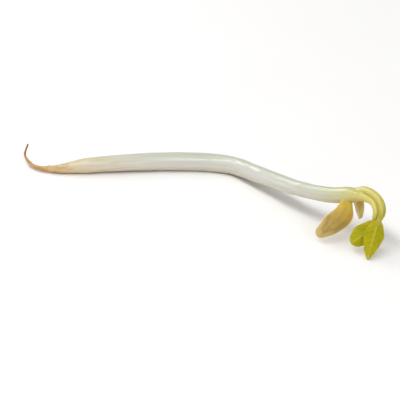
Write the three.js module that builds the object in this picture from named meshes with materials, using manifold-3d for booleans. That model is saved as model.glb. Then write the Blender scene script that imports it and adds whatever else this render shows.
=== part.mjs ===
// Mung bean sprout: one picked seedling lying on a flat surface. Millimetres, +Z up.
// +X runs from the root to the head, and the origin is the middle of the footprint.
// The plant is made of the pieces it grows: a root, a thick white stem (the hypocotyl), the two
// halves of the bean (cotyledons) at the stem's upper node, a hooked neck (the epicotyl) that forks
// into two leaf stalks, and the first pair of leaves.

import * as THREE from "three";
import { mergeVertices } from "three/addons/utils/BufferGeometryUtils.js";
import Module from "manifold-3d";

const wasm = await Module();
wasm.setup();

// Driving dimensions
const STEM_CHORD = 56.7; // stem, straight from the root collar to the node
const STEM_BOW = 12.6; // how far the stem bows aside between its ends
const STEM_DIAMETER = 3.6; // at its thickest
const HEAD_LIFT = 6.1; // how far the node stands above the resting stretch of the stem
const ROOT_REACH = 13; // root, from the collar back to its furthest point
const HOOK_REACH = 8.2; // hook, from the node forwards to its furthest point
const STALK_DIAMETER = 1.5; // of the outer leaf stalk in the hook
const NEAR_BEAN_LENGTH = 8.4;
const FAR_BEAN_LENGTH = 6.6;
const BEAN_WIDTH = 4.5;
const BEAN_DEPTH = 1.6;
const BEAN_BELLY = 0.4; // how far a bean half bulges to one side of its middle line
const BEAN_LEAN = 0.13; // how much nearer its base the bulging side is widest, as a share of its length
const LONG_LEAF_LENGTH = 7.05;
const SHORT_LEAF_LENGTH = 5.4;
const LEAF_WIDTH = 3.8;
const BLADE_THICKNESS = 0.7;

// Fits
const JOINT_GAP = 0.1; // between pieces that grow into each other end to end
const BEAN_GAP = 0.35; // between the node's side and a bean half, whose base is slanted
const FLAT_DEPTH = 0.06; // how far the stem is pressed flat where it rests
const FOOTPRINT_CENTRE = new THREE.Vector3(26.67, 2.65, 0);

// The root, the stem and the neck follow one line, from the root tip to the fork in the neck.
// A root row is along, aside and up as shares of the root's reach, from the collar. A stem row is
// shares of the chord, the bow and the lift. A neck row is shares of the hook's reach, from the node.
const REST_HEIGHT = STEM_DIAMETER / 2 - FLAT_DEPTH;
const COLLAR = new THREE.Vector3(0, 0, 0.81 * REST_HEIGHT);
const NODE = new THREE.Vector3(STEM_CHORD, 0, REST_HEIGHT + HEAD_LIFT);
const ROOT_ROWS = [
  [-0.98, 0.08, 0.12],
  [-0.92, -0.12, 0.02],
  [-0.68, -0.25, -0.05],
  [-0.34, -0.19, -0.04],
];
const STEM_ROWS = [
  [0.1, 0.27, 0],
  [0.3, 0.79, 0],
  [0.45, 1, 0],
  [0.6, 0.7, 0.22],
  [0.8, 0.2, 0.62],
  [0.92, 0.05, 0.8],
];
const NECK_ROWS = [
  [0.18, -0.05, 0.06],
  [0.4, -0.08, 0.11],
];

// Each leaf stalk bends over from the neck to its leaf, in shares of the hook's reach from the node.
const OUTER_STALK_ROWS = [
  [0.1, 0, 0.05],
  [0.38, 0.02, 0.18],
  [0.8, -0.18, 0.17],
  [1, -0.4, 0.01],
  [0.99, -0.61, -0.2],
];
const INNER_STALK_ROWS = [
  [0.1, -0.03, 0.02],
  [0.41, -0.1, 0.09],
  [0.74, -0.28, 0.07],
  [0.87, -0.46, -0.08],
  [0.83, -0.575, -0.265],
];

const UP = new THREE.Vector3(0, 0, 1);
const TOWARDS_FRONT = new THREE.Vector3(0.4, -0.8, 0.45);
const FORWARDS = new THREE.Vector3(0.9, 0.45, 0);

function place([along, aside, up], reach, origin) {
  return new THREE.Vector3(along, aside, up).multiplyScalar(reach).add(origin);
}

// The stretch of a curve between two of its points, evenly spaced along its length.
class Stretch extends THREE.Curve {
  constructor(curve, firstPoint, lastPoint, endGap) {
    super();
    const divisions = 1200;
    const lengths = curve.getLengths(divisions);
    const total = lengths[divisions];
    const lengthAt = (point) => lengths[Math.round((point / (curve.points.length - 1)) * divisions)];
    this.curve = curve;
    this.from = lengthAt(firstPoint) / total;
    this.to = (lengthAt(lastPoint) - endGap) / total;
  }

  getPoint(t) {
    return this.curve.getPointAt(THREE.MathUtils.lerp(this.from, this.to, t));
  }
}

// A smooth run of values through stops along a piece, from 0 at its start to 1 at its end.
function profile(places, values) {
  const spline = new THREE.CubicInterpolant(places, values, 1);
  return (t) => spline.evaluate(t)[0];
}

// Frames down a path that start facing one way and turn no more than the path does.
function framesAlong(path, rings, face) {
  const frames = [];
  let normal = face.clone();
  for (let ring = 0; ring <= rings; ring++) {
    const centre = path.getPoint(ring / rings);
    const tangent = path.getTangent(ring / rings);
    normal = normal.clone().projectOnPlane(tangent).normalize();
    frames.push({ centre, normal, side: tangent.clone().cross(normal) });
  }
  return frames;
}

// Only the places of the corners, with shared corners merged, so that the surface is closed.
function closed(geometry) {
  geometry.deleteAttribute("normal");
  geometry.deleteAttribute("uv");
  return mergeVertices(geometry, 1e-4);
}

// A closed solid that follows a path. It starts as a unit cylinder whose Y runs down the path, and
// section turns each ring's X and Z into how far a corner lies beside the path and out from it. The
// cylinder starts half a side round, so that it lies on a flat and not on a corner.
function grow(path, section, rings, sides, face) {
  const halfSide = Math.PI / sides;
  const geometry = new THREE.CylinderGeometry(1, 1, 1, sides, rings, false, halfSide);
  const frames = framesAlong(path, rings, face);
  const corners = geometry.attributes.position;
  for (let i = 0; i < corners.count; i++) {
    const along = corners.getY(i) + 0.5;
    const { centre, side, normal } = frames[Math.round(along * rings)];
    const [beside, out] = section(along, corners.getX(i), corners.getZ(i));
    const corner = centre.clone().addScaledVector(side, beside).addScaledVector(normal, out);
    corners.setXYZ(i, corner.x, corner.y, Math.max(corner.z, 0));
  }
  return closed(geometry);
}

function round(radius) {
  return (along, x, z) => [x * radius(along), z * radius(along)];
}

function toSolid(geometry) {
  const vertProperties = new Float32Array(geometry.attributes.position.array);
  const triVerts = new Uint32Array(geometry.index.array);
  return new wasm.Manifold(new wasm.Mesh({ numProp: 3, vertProperties, triVerts }));
}

function fuse(...geometries) {
  const [first, ...others] = geometries.map(toSolid);
  const { vertProperties, triVerts } = others.reduce((sum, solid) => sum.add(solid), first).getMesh();
  const geometry = new THREE.BufferGeometry();
  geometry.setAttribute("position", new THREE.BufferAttribute(vertProperties, 3));
  geometry.setIndex(new THREE.BufferAttribute(triVerts, 1));
  return geometry;
}

const plantLine = new THREE.CatmullRomCurve3([
  ...ROOT_ROWS.map((row) => place(row, ROOT_REACH, COLLAR)),
  COLLAR,
  ...STEM_ROWS.map(([chord, bow, lift]) => {
    return new THREE.Vector3(chord * STEM_CHORD, bow * STEM_BOW, REST_HEIGHT + lift * HEAD_LIFT);
  }),
  NODE,
  ...NECK_ROWS.map((row) => place(row, HOOK_REACH, NODE)),
]);
const COLLAR_POINT = ROOT_ROWS.length;
const NODE_POINT = COLLAR_POINT + STEM_ROWS.length + 1;
const FORK_POINT = NODE_POINT + NECK_ROWS.length;

const stemRadius = STEM_DIAMETER / 2;
const stemGirth = profile(
  [0, 0.3, 0.6, 0.85, 1],
  [0.81, 1, 0.9, 0.8, 0.87].map((share) => share * stemRadius),
);
const rootGirth = profile(
  [0, 0.3, 0.6, 0.82, 1],
  [0.09, 0.16, 0.32, 0.58, 0.81].map((share) => share * stemRadius),
);

// Root: a tail that thins quickly below the collar and curls up at its tip.
function root() {
  return grow(new Stretch(plantLine, 0, COLLAR_POINT, JOINT_GAP), round(rootGirth), 22, 12, UP);
}

// Hypocotyl: the thick stem, lying on its bow and rising towards the head.
function hypocotyl() {
  return grow(new Stretch(plantLine, COLLAR_POINT, NODE_POINT, JOINT_GAP), round(stemGirth), 36, 16, UP);
}

function stalkLine(rows) {
  return new THREE.CatmullRomCurve3(rows.map((row) => place(row, HOOK_REACH, NODE)));
}

const outerStalkLine = stalkLine(OUTER_STALK_ROWS);
const innerStalkLine = stalkLine(INNER_STALK_ROWS);

// Epicotyl: a short neck that forks into two stalks, side by side in one hook.
function epicotyl() {
  const neckGirth = profile([0, 0.5, 1], [0.87, 0.7, 0.34].map((share) => share * stemRadius));
  const neck = grow(new Stretch(plantLine, NODE_POINT, FORK_POINT, 0), round(neckGirth), 8, 16, UP);
  const stalkRadius = STALK_DIAMETER / 2;
  const outerGirth = profile([0, 0.5, 1], [1.45, 1.05, 0.9].map((share) => share * stalkRadius));
  const innerGirth = profile([0, 0.5, 1], [1.4, 0.95, 0.8].map((share) => share * stalkRadius));
  const outerStalk = grow(outerStalkLine, round(outerGirth), 18, 12, UP);
  const innerStalk = grow(innerStalkLine, round(innerGirth), 16, 12, UP);
  return fuse(neck, outerStalk, innerStalk);
}

// One half of the bean: rounded outside, nearly flat inside, narrowed to a short base at the node, and
// kidney-shaped, with one side fuller than the other. It leaves the node one way and hangs another,
// which curves it as a bean is curved.
function beanHalf(outwards, leave, hang, length, face) {
  const tangent = plantLine.getTangent(NODE_POINT / FORK_POINT);
  const radial = outwards.clone().projectOnPlane(tangent).normalize();
  const base = NODE.clone().addScaledVector(radial, stemGirth(1) + BEAN_GAP);
  const bendShare = 0.55;
  const bend = base.clone().addScaledVector(leave.clone().normalize(), bendShare * length);
  const end = base.clone().addScaledVector(hang.clone().normalize(), length);
  const width = profile([0, 0.14, 0.42, 0.75, 1], [0.35, 0.6, 1, 0.72, 0.25]);
  const depth = profile([0, 0.14, 0.42, 0.75, 1], [0.45, 0.6, 1, 0.8, 0.3]);
  const section = (along, x, z) => {
    const fullness = z > 0 ? 0.75 : 0.25;
    const belly = Math.sin(Math.PI * along);
    const halfWidth = (width(along - BEAN_LEAN * x * belly) * BEAN_WIDTH) / 2;
    return [x * halfWidth - BEAN_BELLY * belly, z * fullness * depth(along) * BEAN_DEPTH];
  };
  return grow(new THREE.QuadraticBezierCurve3(base, bend, end), section, 16, 14, face);
}

// A young leaf: its two sides are folded back a little along its middle vein.
function leaf(stalk, hang, length, width, face) {
  const stalkEnd = stalk.getPoint(1);
  const stalkHeading = stalk.getTangent(1);
  const base = stalkEnd.clone().addScaledVector(stalkHeading, JOINT_GAP);
  const bend = base.clone().addScaledVector(stalkHeading, length / 3);
  const tip = base.clone().addScaledVector(hang.clone().normalize(), length);
  const fold = 0.25;
  const section = (along, x, z) => {
    const beside = (Math.sign(x) * Math.abs(x) ** 0.7 * width(along) * LEAF_WIDTH) / 2;
    const out = Math.sign(z) * Math.abs(z) ** 0.5 * (BLADE_THICKNESS / 2);
    return [beside, out - fold * Math.abs(beside)];
  };
  return grow(new THREE.QuadraticBezierCurve3(base, bend, tip), section, 16, 14, face);
}

const pointedLeaf = profile([0, 0.12, 0.45, 0.8, 1], [0.25, 0.55, 1, 0.6, 0.1]);
const bluntLeaf = profile([0, 0.15, 0.58, 0.86, 1], [0.3, 0.5, 1, 0.75, 0.3]);

function plantTissue(colour, roughness) {
  return new THREE.MeshStandardMaterial({ color: colour, roughness, metalness: 0 });
}

const whiteStem = plantTissue("#e2dfd3", 0.35);
const tanRoot = plantTissue("#dcb479", 0.55);
const yellowNeck = plantTissue("#cfc36c", 0.4);
const driedBean = plantTissue("#bd9d47", 0.6);
const greenLeaf = plantTissue("#a9a420", 0.5);

const sprout = new THREE.Group();

function addPiece(name, geometry, material) {
  const piece = new THREE.Mesh(geometry, material);
  piece.name = name;
  sprout.add(piece);
}

addPiece("root", root(), tanRoot);
addPiece("hypocotyl", hypocotyl(), whiteStem);
addPiece("epicotyl", epicotyl(), yellowNeck);
addPiece(
  "cotyledon_near",
  beanHalf(
    new THREE.Vector3(0, -0.95, -0.25),
    new THREE.Vector3(-0.05, -0.55, -0.85),
    new THREE.Vector3(-0.42, -0.61, -0.68),
    NEAR_BEAN_LENGTH,
    TOWARDS_FRONT,
  ),
  driedBean,
);
addPiece(
  "cotyledon_far",
  beanHalf(
    new THREE.Vector3(0, 0.95, -0.25),
    new THREE.Vector3(0, 0.65, -0.75),
    new THREE.Vector3(0.03, 0.35, -0.93),
    FAR_BEAN_LENGTH,
    FORWARDS,
  ),
  driedBean,
);
addPiece(
  "leaf_long",
  leaf(outerStalkLine, new THREE.Vector3(-0.05, -0.52, -0.86), LONG_LEAF_LENGTH, pointedLeaf, TOWARDS_FRONT),
  greenLeaf,
);
addPiece(
  "leaf_short",
  leaf(innerStalkLine, new THREE.Vector3(-0.5, -0.6, -0.6), SHORT_LEAF_LENGTH, bluntLeaf, TOWARDS_FRONT),
  greenLeaf,
);

sprout.position.copy(FOOTPRINT_CENTRE).negate();

export default sprout;
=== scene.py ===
# %% [markdown]
# # A mung bean sprout
# A picked sprout is a whole small plant that grew in the dark: a root, a thick white stem, the two
# spent halves of its bean, a hooked neck and its first pair of leaves. The CAD model holds each of
# them as a plain solid in its place. This lesson grows a finer piece over each solid, in the same
# frame, and gives it the finish of living tissue.

# %% Load the frame
import math

import bpy
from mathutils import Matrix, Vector, noise


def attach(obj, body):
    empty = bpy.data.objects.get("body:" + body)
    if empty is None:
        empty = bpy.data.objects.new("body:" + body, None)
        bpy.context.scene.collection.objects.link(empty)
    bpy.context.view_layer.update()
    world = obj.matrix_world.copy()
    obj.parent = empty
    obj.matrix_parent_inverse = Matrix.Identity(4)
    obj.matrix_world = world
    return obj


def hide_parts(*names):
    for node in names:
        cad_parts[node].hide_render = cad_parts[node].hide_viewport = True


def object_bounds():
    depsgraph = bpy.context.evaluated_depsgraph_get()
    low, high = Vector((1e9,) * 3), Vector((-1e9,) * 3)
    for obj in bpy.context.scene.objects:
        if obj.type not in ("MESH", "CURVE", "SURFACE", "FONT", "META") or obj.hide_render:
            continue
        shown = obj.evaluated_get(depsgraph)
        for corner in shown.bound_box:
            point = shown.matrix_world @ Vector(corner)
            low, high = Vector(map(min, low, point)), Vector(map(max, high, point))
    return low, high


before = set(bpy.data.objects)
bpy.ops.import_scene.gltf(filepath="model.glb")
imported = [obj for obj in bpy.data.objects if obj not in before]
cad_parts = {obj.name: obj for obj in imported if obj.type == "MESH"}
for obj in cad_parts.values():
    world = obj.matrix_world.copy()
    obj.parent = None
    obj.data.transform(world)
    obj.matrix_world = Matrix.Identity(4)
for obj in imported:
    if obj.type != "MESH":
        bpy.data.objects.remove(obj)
cad_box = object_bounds()
cad_size = [round(1000 * side, 1) for side in cad_box[1] - cad_box[0]]
print(len(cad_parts), "solids, together in mm:", cad_size)

# %% [markdown]
# ## The line that the plant grew along
# Root, stem and neck are one growth, so one smooth line runs through all three. Its points are the
# CAD model's own, in millimetres: a few rows of shares of the plant's main sizes. A Catmull-Rom line
# passes through every one of its points, so a bend can be placed by hand, while a Bezier curve would
# need handles as well.

# %% The plant's sizes and points
MM = 0.001
STEM_CHORD = 56.7
STEM_BOW = 12.6
STEM_RADIUS = 1.8
HEAD_LIFT = 6.1
ROOT_REACH = 13
HOOK_REACH = 8.2
FLAT_DEPTH = 0.06
FOOTPRINT_CENTRE = Vector((26.67, 2.65, 0))
REST_HEIGHT = STEM_RADIUS - FLAT_DEPTH
COLLAR = Vector((0, 0, 0.81 * REST_HEIGHT))
NODE = Vector((STEM_CHORD, 0, REST_HEIGHT + HEAD_LIFT))
ROOT_ROWS = (
    (-0.98, 0.08, 0.12),
    (-0.92, -0.12, 0.02),
    (-0.68, -0.25, -0.05),
    (-0.34, -0.19, -0.04),
)
STEM_ROWS = (
    (0.1, 0.27, 0),
    (0.3, 0.79, 0),
    (0.45, 1, 0),
    (0.6, 0.7, 0.22),
    (0.8, 0.2, 0.62),
    (0.92, 0.05, 0.8),
)
NECK_ROWS = (
    (0.18, -0.05, 0.06),
    (0.4, -0.08, 0.11),
)


def place(row, reach, origin):
    """A row of shares of a reach, as a point measured from an origin."""
    return origin + reach * Vector(row)


def in_frame(point):
    """A point of the plant in millimetres, as a place in the frame in metres."""
    return MM * (point - FOOTPRINT_CENTRE)


print("the bean halves grow at", [round(1000 * side, 1) for side in in_frame(NODE)], "mm in the frame")

# %% A smooth line, and a smooth run of values
LINE_STEPS = 48


def between(start, end, leave, arrive, t):
    """A cubic from one place or value to the next, with the slope it leaves and arrives with."""
    ease = t * t * (3 - 2 * t)
    return start * (1 - ease) + end * ease + leave * t * (1 - t) ** 2 - arrive * t * t * (1 - t)


def smooth_line(points):
    """Places along a centripetal Catmull-Rom line, LINE_STEPS from each point to the next."""
    padded = [2 * points[0] - points[1], *points, 2 * points[-1] - points[-2]]
    line = []
    for before, start, end, after in zip(padded, padded[1:], padded[2:], padded[3:]):
        lead = math.sqrt((start - before).length)
        span = math.sqrt((end - start).length)
        trail = math.sqrt((after - end).length)
        leave = (start - before) / lead - (end - before) / (lead + span) + (end - start) / span
        arrive = (end - start) / span - (after - start) / (span + trail) + (after - end) / trail
        for step in range(LINE_STEPS):
            line.append(between(start, end, leave * span, arrive * span, step / LINE_STEPS))
    line.append(points[-1])
    return line


def profile(places, values):
    """A smooth run of values through stops along a piece, from 0 at its start to 1 at its end."""
    last = len(places) - 1

    def slope(i):
        low = max(i - 1, 0)
        high = min(i + 1, last)
        return (values[high] - values[low]) / (places[high] - places[low])

    def at(t):
        i = max(k for k in range(last) if places[k] <= max(t, 0))
        span = places[i + 1] - places[i]
        share = min((t - places[i]) / span, 1)
        return between(values[i], values[i + 1], slope(i) * span, slope(i + 1) * span, share)

    return at


def distances(points):
    """How far each point lies along the line, from the first."""
    along = [0]
    for here, there in zip(points, points[1:]):
        along.append(along[-1] + (there - here).length)
    return along


plant_line = smooth_line(
    [place(row, ROOT_REACH, COLLAR) for row in ROOT_ROWS]
    + [COLLAR]
    + [Vector((a * STEM_CHORD, b * STEM_BOW, REST_HEIGHT + c * HEAD_LIFT)) for a, b, c in STEM_ROWS]
    + [NODE]
    + [place(row, HOOK_REACH, NODE) for row in NECK_ROWS]
)
plant_distances = distances(plant_line)
collar_step = LINE_STEPS * len(ROOT_ROWS)
node_step = collar_step + LINE_STEPS * (len(STEM_ROWS) + 1)
COLLAR_AT = plant_distances[collar_step]
NODE_AT = plant_distances[node_step]
print(f"root {COLLAR_AT:.1f} mm, stem {NODE_AT - COLLAR_AT:.1f} mm along the line")

# %% [markdown]
# ## One way to add a node
# Shaders and Geometry Nodes trees are built from the same kind of parts, so one small function adds
# a node to either. It sets the node's own settings, then fills each input with a plain value or with
# the output of another node. Colours are written as they look on a screen, in sRGB hex, and turned
# into the linear light that shaders reckon with.

# %% Nodes and colours
def linear(hex_colour):
    """An sRGB hex colour as linear red, green, blue and alpha."""
    channels = [int(hex_colour[i : i + 2], 16) / 255 for i in (1, 3, 5)]
    return [c / 12.92 if c <= 0.04045 else ((c + 0.055) / 1.055) ** 2.4 for c in channels] + [1]


def add(tree, kind, inputs=None, stops=(), **settings):
    """A new node. Inputs go by name or number; stops are a colour ramp's places and hex colours."""
    node = tree.nodes.new(kind)
    for name, value in settings.items():
        setattr(node, name, value)
    for i, (stop, colour) in enumerate(stops):
        element = node.color_ramp.elements[i] if i < 2 else node.color_ramp.elements.new(stop)
        element.position = stop
        element.color = linear(colour)
    for key, value in (inputs or {}).items():
        named = [socket for socket in node.inputs if socket.name == key and socket.enabled]
        socket = named[0] if named else node.inputs[key]
        if isinstance(value, bpy.types.Node):
            value = next(output for output in value.outputs if output.enabled)
        if isinstance(value, bpy.types.NodeSocket):
            tree.links.new(value, socket)
        else:
            socket.default_value = value
    return node


print("node helper ready; mid grey #808080 is", round(linear("#808080")[0], 3), "in linear light")

# %% [markdown]
# ## A tree that grows a stalk
# Root and stem are round and follow a path. A curve's bevel would sweep a circle too, but a node tree
# can do more on the way: it takes the girth from each point of the line, lets the surface swell and
# ripple along its fibres, and presses it flat where it would sink below the floor. It also stores
# `grown`, each point's place in the plant as if it were pulled straight: to its right, to its
# underside, and down its length, in millimetres. The finishes read that, so fibres and tints follow
# every bend.

# %% Trees, and the line that they read
def start_tree(name, **kinds):
    """A Geometry Nodes tree with a geometry socket each way and named inputs."""
    tree = bpy.data.node_groups.new(name, "GeometryNodeTree")
    tree.interface.new_socket("Geometry", in_out="INPUT", socket_type="NodeSocketGeometry")
    for label, kind in kinds.items():
        socket_type = "NodeSocket" + kind
        tree.interface.new_socket(label.replace("_", " "), in_out="INPUT", socket_type=socket_type)
    tree.interface.new_socket("Geometry", in_out="OUTPUT", socket_type="NodeSocketGeometry")
    return tree, add(tree, "NodeGroupInput").outputs


def finish_tree(tree, geometry, skin):
    """End a tree with plain geometry in its material."""
    plain = add(tree, "GeometryNodeRealizeInstances", {"Geometry": geometry})
    dressed = add(tree, "GeometryNodeSetMaterial", {"Geometry": plain, "Material": skin})
    add(tree, "NodeGroupOutput", {"Geometry": dressed})
    return tree


def new_piece(name, mesh):
    """An object at the origin, with its place in its mesh."""
    piece = bpy.data.objects.new(name, mesh)
    bpy.context.scene.collection.objects.link(piece)
    return piece


def line_piece(name, *lines):
    """Lines as edges. Each point has its girth in metres, its distance down, and its line's number."""
    places, edges = [], []
    marks = {"girth": [], "down": [], "strand": []}
    for strand, (points, girth, start) in enumerate(lines):
        first = len(places)
        along = distances(points)
        places += [in_frame(point) for point in points]
        edges += [(i, i + 1) for i in range(first, first + len(points) - 1)]
        marks["girth"] += [MM * girth(far / along[-1]) for far in along]
        marks["down"] += [start + far for far in along]
        marks["strand"] += [strand] * len(points)
    mesh = bpy.data.meshes.new(name)
    mesh.from_pydata(places, edges, [])
    for mark, values in marks.items():
        mesh.attributes.new(mark, "FLOAT", "POINT").data.foreach_set("value", values)
    return new_piece(name, mesh)


def run_tree(piece, tree, **sizes):
    """Run a tree on a piece, and keep what it makes as the piece's plain mesh."""
    modifier = piece.modifiers.new(tree.name, "NODES")
    modifier.node_group = tree
    for item in tree.interface.items_tree:
        key = item.name.replace(" ", "_")
        if key in sizes:
            modifier[item.identifier] = sizes[key]
    evaluated = piece.evaluated_get(bpy.context.evaluated_depsgraph_get())
    mesh = bpy.data.meshes.new_from_object(evaluated)
    piece.modifiers.clear()
    piece.data = mesh
    print(f"{piece.name}: {len(mesh.polygons)} faces after {tree.name}")
    return piece


print("ready to grow trees in", bpy.app.version_string)

# %% Moves that several trees make
# Only the height is limited: a metre below nothing is out of the sprout's reach.
FAR_AWAY = -1.0


def fibre_wave(tree, grown, width, length, height):
    """A height that ripples across the fibres and changes slowly along them."""
    size = add(tree, "ShaderNodeCombineXYZ", {"X": width, "Y": width, "Z": length})
    spot = add(tree, "ShaderNodeVectorMath", {0: grown, 1: size}, operation="DIVIDE")
    wave = add(tree, "ShaderNodeTexNoise", {"Vector": spot, "Scale": 1.0, "Detail": 2.0})
    wave = add(tree, "ShaderNodeMath", {0: wave, 1: 0.5}, operation="SUBTRACT")
    return add(tree, "ShaderNodeMath", {0: wave, 1: height}, operation="MULTIPLY")


def raise_skin(tree, skin, outwards, height):
    """Push a skin outwards by a height."""
    push = add(tree, "ShaderNodeVectorMath", {0: outwards, "Scale": height}, operation="SCALE")
    return add(tree, "GeometryNodeSetPosition", {"Geometry": skin, "Offset": push})


def press_flat(tree, skin):
    """Lift what would sink below the floor up to it."""
    here = add(tree, "GeometryNodeInputPosition")
    lowest = add(tree, "ShaderNodeCombineXYZ", {"X": FAR_AWAY, "Y": FAR_AWAY, "Z": 0.0})
    pressed = add(tree, "ShaderNodeVectorMath", {0: here, 1: lowest}, operation="MAXIMUM")
    return add(tree, "GeometryNodeSetPosition", {"Geometry": skin, "Position": pressed})


def further_down(tree, first):
    """Which points lie further down the plant than a distance in millimetres."""
    grown = add(tree, "GeometryNodeInputNamedAttribute", {"Name": "grown"}, data_type="FLOAT_VECTOR")
    down = add(tree, "ShaderNodeSeparateXYZ", {0: grown}).outputs["Z"]
    return add(tree, "FunctionNodeCompare", {"A": down, "B": first}, operation="GREATER_THAN")


print("moves ready: ripple, raise, press flat, choose by distance")

# %% The sweep
def sweep(tree, line, rings, sides):
    """A circle swept along each line by its girth, with `centre` and `grown` on every point."""
    here = add(tree, "GeometryNodeInputPosition")
    line = add(tree, "GeometryNodeMeshToCurve", {"Mesh": line})
    line = add(tree, "GeometryNodeResampleCurve", {"Curve": line, "Count": rings})
    line = add(tree, "GeometryNodeSetCurveNormal", {"Curve": line}, mode="Z_UP")
    centre = {"Geometry": line, "Name": "centre", "Value": here}
    line = add(tree, "GeometryNodeStoreNamedAttribute", centre, data_type="FLOAT_VECTOR")
    circle = add(tree, "GeometryNodeCurvePrimitiveCircle", {"Resolution": sides, "Radius": 1.0})
    around = {"Geometry": circle, "Name": "round", "Value": here}
    circle = add(tree, "GeometryNodeStoreNamedAttribute", around, data_type="FLOAT_VECTOR")
    girth = add(tree, "GeometryNodeInputNamedAttribute", {"Name": "girth"}, data_type="FLOAT")
    swept = {"Curve": line, "Profile Curve": circle, "Scale": girth, "Fill Caps": True}
    stalk = add(tree, "GeometryNodeCurveToMesh", swept)
    around = add(tree, "GeometryNodeInputNamedAttribute", {"Name": "round"}, data_type="FLOAT_VECTOR")
    down = add(tree, "GeometryNodeInputNamedAttribute", {"Name": "down"}, data_type="FLOAT")
    girth_mm = add(tree, "ShaderNodeMath", {0: girth, 1: 1 / MM}, operation="MULTIPLY")
    across = add(tree, "ShaderNodeVectorMath", {0: around, "Scale": girth_mm}, operation="SCALE")
    along = add(tree, "ShaderNodeCombineXYZ", {"Z": down})
    straight = add(tree, "ShaderNodeVectorMath", {0: across, 1: along}, operation="ADD")
    grown = {"Geometry": stalk, "Name": "grown", "Value": straight}
    return add(tree, "GeometryNodeStoreNamedAttribute", grown, data_type="FLOAT_VECTOR")


print("sweep ready")

# %% The tree that grows a stalk
def stalk_tree():
    """A tree that sweeps a stalk, ripples its skin and presses it on the floor."""
    tree, given = start_tree(
        "Grow a stalk",
        Rings="Int",
        Sides="Int",
        Swell_height="Float",
        Swell_length="Float",
        Fibre_height="Float",
        Fibre_width="Float",
        Fibre_length="Float",
        Skin="Material",
    )
    stalk = sweep(tree, given["Geometry"], given["Rings"], given["Sides"])
    here = add(tree, "GeometryNodeInputPosition")
    grown = add(tree, "GeometryNodeInputNamedAttribute", {"Name": "grown"}, data_type="FLOAT_VECTOR")
    centre = add(tree, "GeometryNodeInputNamedAttribute", {"Name": "centre"}, data_type="FLOAT_VECTOR")
    outwards = add(tree, "ShaderNodeVectorMath", {0: here, 1: centre}, operation="SUBTRACT")
    outwards = add(tree, "ShaderNodeVectorMath", {0: outwards}, operation="NORMALIZE")
    ripples = (
        (given["Swell length"], given["Swell length"], given["Swell height"]),
        (given["Fibre width"], given["Fibre length"], given["Fibre height"]),
    )
    for width, length, height in ripples:
        wave = fibre_wave(tree, grown, width, length, height)
        stalk = raise_skin(tree, stalk, outwards, wave)
    return finish_tree(tree, press_flat(tree, stalk), given["Skin"])


STALK_TREE = stalk_tree()
print("stalk tree:", len(STALK_TREE.nodes), "nodes")

# %% [markdown]
# ## How a plant's skin is coloured
# All the skins of this plant are made in the same three layers: a tint that changes down the length
# of the piece, strands and patches of other tints over it, and a fine relief. The patterns are noise
# that is drawn out along `grown`, so they lie along the plant and not along the room. Image textures
# would need a flat map of every piece, and a skin this small has no printed detail to copy.

# %% Layers of a skin
def start_skin(name, **even):
    """A material's node tree and shader, with what is even all over set on the shader's sockets."""
    material = bpy.data.materials.new(name)
    material.use_nodes = True
    shader = material.node_tree.nodes["Principled BSDF"]
    for socket, value in even.items():
        shader.inputs[socket.replace("_", " ")].default_value = value
    return material, material.node_tree, shader


def streaks(tree, width, length, detail=2.0):
    """Noise drawn out down the length of a piece, for strands of the given size in millimetres."""
    grown = add(tree, "ShaderNodeAttribute", attribute_name="grown")
    size = {"Vector": grown.outputs["Vector"], "Scale": (1 / width, 1 / width, 1 / length)}
    spot = add(tree, "ShaderNodeMapping", size)
    return add(tree, "ShaderNodeTexNoise", {"Vector": spot, "Scale": 1.0, "Detail": detail})


def share_down(tree, start, end):
    """How far a point lies from one distance down a piece to another, from 0 to 1."""
    grown = add(tree, "ShaderNodeAttribute", attribute_name="grown")
    parts = add(tree, "ShaderNodeSeparateXYZ", {0: grown.outputs["Vector"]})
    span = {"Value": parts.outputs["Z"], "From Min": start, "From Max": end}
    return add(tree, "ShaderNodeMapRange", span)


def tint_down(tree, *tints):
    """A ramp of colours down the length of a piece: distances in mm and hex colours, in order."""
    start = tints[0][0]
    end = tints[-1][0]
    stops = [((far - start) / (end - start), colour) for far, colour in tints]
    stops.insert(1, stops.pop())
    return add(tree, "ShaderNodeValToRGB", {"Fac": share_down(tree, start, end)}, stops=stops)


def underside(tree):
    """How far round a stalk a point lies: 0 on its top, 1 on its underside."""
    grown = add(tree, "ShaderNodeAttribute", attribute_name="grown")
    across = {0: grown.outputs["Vector"], 1: (1, 1, 0)}
    outwards = add(tree, "ShaderNodeVectorMath", across, operation="MULTIPLY")
    outwards = add(tree, "ShaderNodeVectorMath", {0: outwards}, operation="NORMALIZE")
    parts = add(tree, "ShaderNodeSeparateXYZ", {0: outwards})
    span = {"Value": parts.outputs["Y"], "From Min": -1.0, "From Max": 1.0}
    return add(tree, "ShaderNodeMapRange", span)


def shade(tree, under, share, *stops, amount=1.0):
    """Take colour away by a ramp of tints over a share, as a pigment in the tissue does."""
    ramp = add(tree, "ShaderNodeValToRGB", {"Fac": share}, stops=stops)
    colours = {"Factor": amount, "A": under, "B": ramp}
    return add(tree, "ShaderNodeMix", colours, data_type="RGBA", blend_type="MULTIPLY").outputs[2]


def blend_in(tree, under, over, share, low, high):
    """Mix a hex colour over another colour where a share lies between two limits."""
    limits = {"Value": share, "From Min": low, "From Max": high}
    cover = add(tree, "ShaderNodeMapRange", limits, interpolation_type="SMOOTHSTEP")
    colours = {"Factor": cover, "A": under, "B": linear(over)}
    return add(tree, "ShaderNodeMix", colours, data_type="RGBA").outputs[2]


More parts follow.
